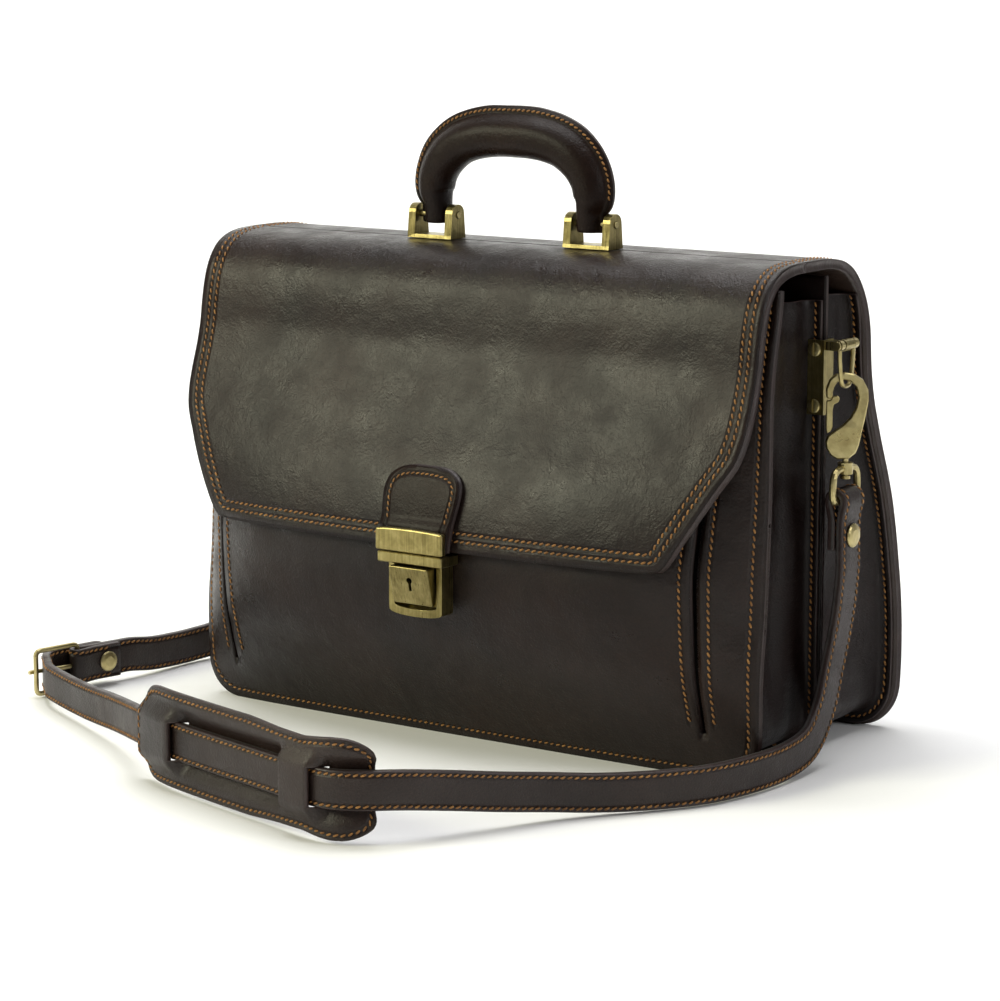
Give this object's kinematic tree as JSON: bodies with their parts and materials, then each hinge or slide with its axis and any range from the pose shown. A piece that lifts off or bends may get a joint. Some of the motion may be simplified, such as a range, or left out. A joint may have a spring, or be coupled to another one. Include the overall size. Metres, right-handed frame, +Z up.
{
  "type": "leather briefcase",
  "caption": "Flap briefcase in dark brown leather with a press lock, a padded top handle and a clip-on shoulder strap with a threaded pad.",
  "frame": {"origin": "middle of the divider's lower edge, on the ground under the case", "axes": "+X to the right seen from the front, -Y towards the flap's side, +Z up"},
  "size_m": [0.5079, 0.4072, 0.3726],
  "materials": {
    "cover_leather": "polished dark brown, stitched in golden tan thread",
    "gusset_leather": "soft dark brown",
    "strap_leather": "smooth dark brown with painted edges",
    "brass": "antique brushed",
    "stiffener": "dark fibreboard"
  },
  "bodies": {
    "case": {"rear_cover": "cover_leather", "front_panel": "cover_leather", "pocket_wall": "gusset_leather", "divider": "cover_leather", "front_gusset": "gusset_leather", "rear_gusset": "gusset_leather", "lock_body": "brass", "side_bracket_left": "brass", "side_bracket_right": "brass", "bracket_screw_upper_left": "brass", "bracket_screw_upper_right": "brass", "bracket_screw_lower_left": "brass", "bracket_screw_lower_right": "brass", "ring_pin_left": "brass", "ring_pin_right": "brass", "swivel_eye_left": "brass", "swivel_eye_right": "brass", "strap_long": "strap_leather", "strap_short": "strap_leather", "strap_rivet_left": "brass", "strap_rivet_right": "brass", "strap_rivet_buckle": "brass", "buckle_frame": "brass"},
    "top": {"top_cover": "cover_leather", "top_stiffener": "stiffener", "handle_bracket_left": "brass", "handle_bracket_right": "brass", "handle_pin_left": "brass", "handle_pin_right": "brass"},
    "handle": {"handle_grip": "cover_leather"},
    "flap": {"flap": "cover_leather", "lock_tab": "cover_leather", "hasp": "brass"},
    "press_plate": {"press_plate": "brass"},
    "key_lever": {"key_lever": "brass"},
    "ring_right": {"ring_right": "brass"},
    "ring_left": {"ring_left": "brass"},
    "hook_right": {"hook_right": "brass"},
    "hook_left": {"hook_left": "brass"},
    "gate_right": {"hook_gate_right": "brass"},
    "gate_left": {"hook_gate_left": "brass"},
    "prong": {"buckle_prong": "brass"},
    "shoulder_pad": {"shoulder_pad": "strap_leather"}
  },
  "joints": [
    {"name": "top_fold", "type": "hinge", "parent": "case", "child": "top", "pos_m": [0, 0.039, 0.276], "axis": [-1, 0, 0], "range_deg": [0, 100]},
    {"name": "flap_lift", "type": "hinge", "parent": "top", "child": "flap", "pos_m": [0, -0.057, 0.284], "axis": [-1, 0, 0], "range_deg": [0, 120]},
    {"name": "handle_swing", "type": "hinge", "parent": "top", "child": "handle", "pos_m": [0, -0.024, 0.3055], "axis": [1, 0, 0], "range_deg": [-60, 60]},
    {"name": "press_release", "type": "hinge", "parent": "case", "child": "press_plate", "pos_m": [0, -0.121, 0.0884], "axis": [-1, 0, 0], "range_deg": [0, 6], "stiffness_Nm_per_rad": 0.6, "springref_deg": -5.73},
    {"name": "key_turn", "type": "hinge", "parent": "press_plate", "child": "key_lever", "pos_m": [0, -0.1206, 0.1034], "axis": [0, -1, 0], "range_deg": [0, 90]},
    {"name": "ring_swing_right", "type": "hinge", "parent": "case", "child": "ring_right", "pos_m": [0.2134, 0, 0.2435], "axis": [0, 1, 0], "range_deg": [-3, 3]},
    {"name": "ring_swing_left", "type": "hinge", "parent": "case", "child": "ring_left", "pos_m": [-0.2134, 0, 0.2435], "axis": [0, 1, 0], "range_deg": [-3, 3]},
    {"name": "hook_swivel_right", "type": "hinge", "parent": "case", "child": "hook_right", "pos_m": [0.214, 0, 0.1725], "axis": [0, 0, 1], "range_deg": [-12, 1]},
    {"name": "hook_swivel_left", "type": "hinge", "parent": "case", "child": "hook_left", "pos_m": [-0.214, 0, 0.1725], "axis": [0, 0, -1], "range_deg": [-12, 1]},
    {"name": "gate_open_right", "type": "hinge", "parent": "hook_right", "child": "gate_right", "pos_m": [0.20614, -0.0055, 0.196], "axis": [-0.5736, 0.8192, 0], "range_deg": [0, 20], "stiffness_Nm_per_rad": 0.03, "springref_deg": -11.46},
    {"name": "gate_open_left", "type": "hinge", "parent": "hook_left", "child": "gate_left", "pos_m": [-0.20614, -0.0055, 0.196], "axis": [-0.5736, -0.8192, 0], "range_deg": [0, 20], "stiffness_Nm_per_rad": 0.03, "springref_deg": -11.46},
    {"name": "prong_swing", "type": "hinge", "parent": "case", "child": "prong", "pos_m": [-0.27, -0.118, 0.0158], "axis": [0, 0, -1], "range_deg": [0, 6]},
    {"name": "pad_slide", "type": "slide", "parent": "case", "child": "shoulder_pad", "axis": [-0.9651, 0.262, 0], "range_m": [0, 0.004]}
  ]
}
